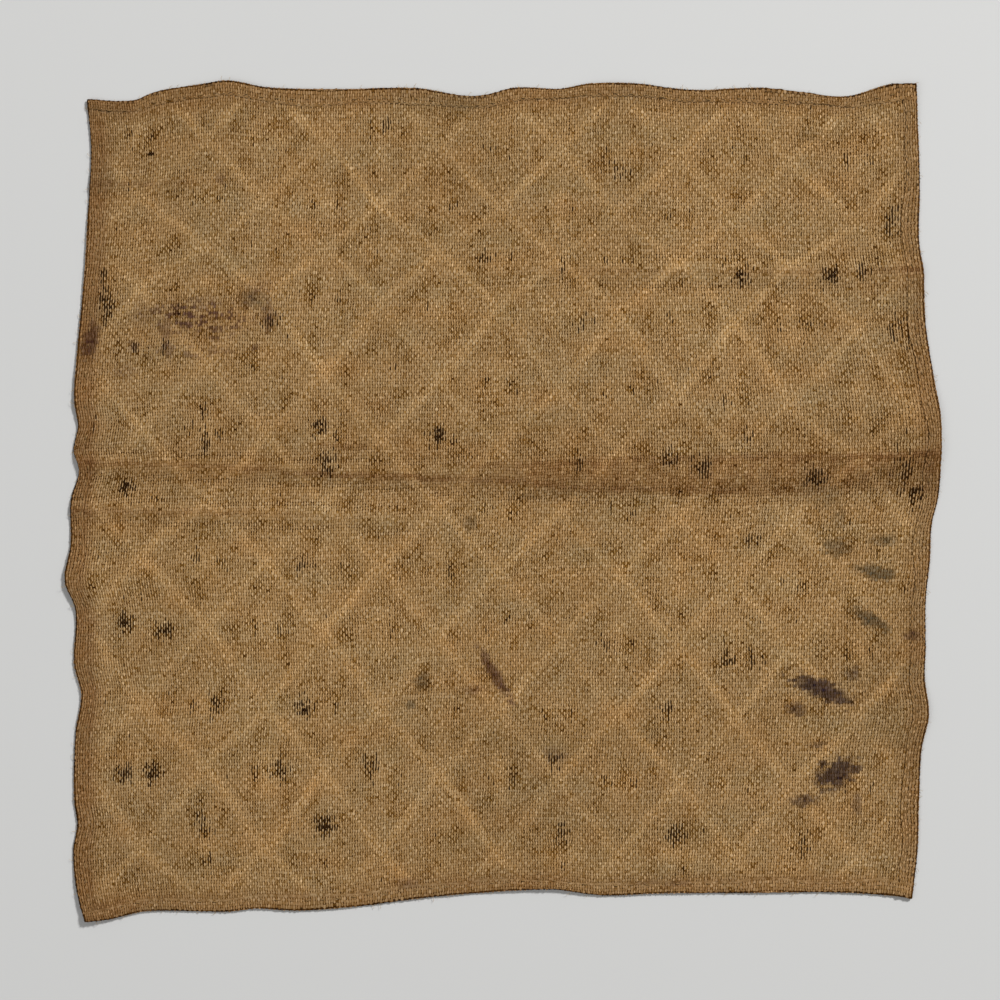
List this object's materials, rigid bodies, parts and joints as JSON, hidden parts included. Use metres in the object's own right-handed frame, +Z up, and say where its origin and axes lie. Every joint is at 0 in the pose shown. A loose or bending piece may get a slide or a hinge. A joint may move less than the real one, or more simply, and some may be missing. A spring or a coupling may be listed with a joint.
{
  "type": "kuba cloth panel",
  "caption": "Near-square panel of coarse plain-woven raffia with a narrow turned hem and wavy edges, laid flat with its wrong side up and old fold lines across it.",
  "frame": {"origin": "on the surface that the cloth lies on, under the middle of the cloth", "axes": "+X across the cloth to the right as seen from above, +Y up the cloth, +Z up out of the surface, towards the wrong side of the cloth"},
  "size_m": [0.5636, 0.5408, 0.0059],
  "materials": {
    "raffia": "undyed plain-woven raffia, matt with a faint straw sheen, aged tan with brown fold lines and violet-brown stains"
  },
  "bodies": {
    "root": {"cloth_panel": "raffia"}
  },
  "joints": []
}
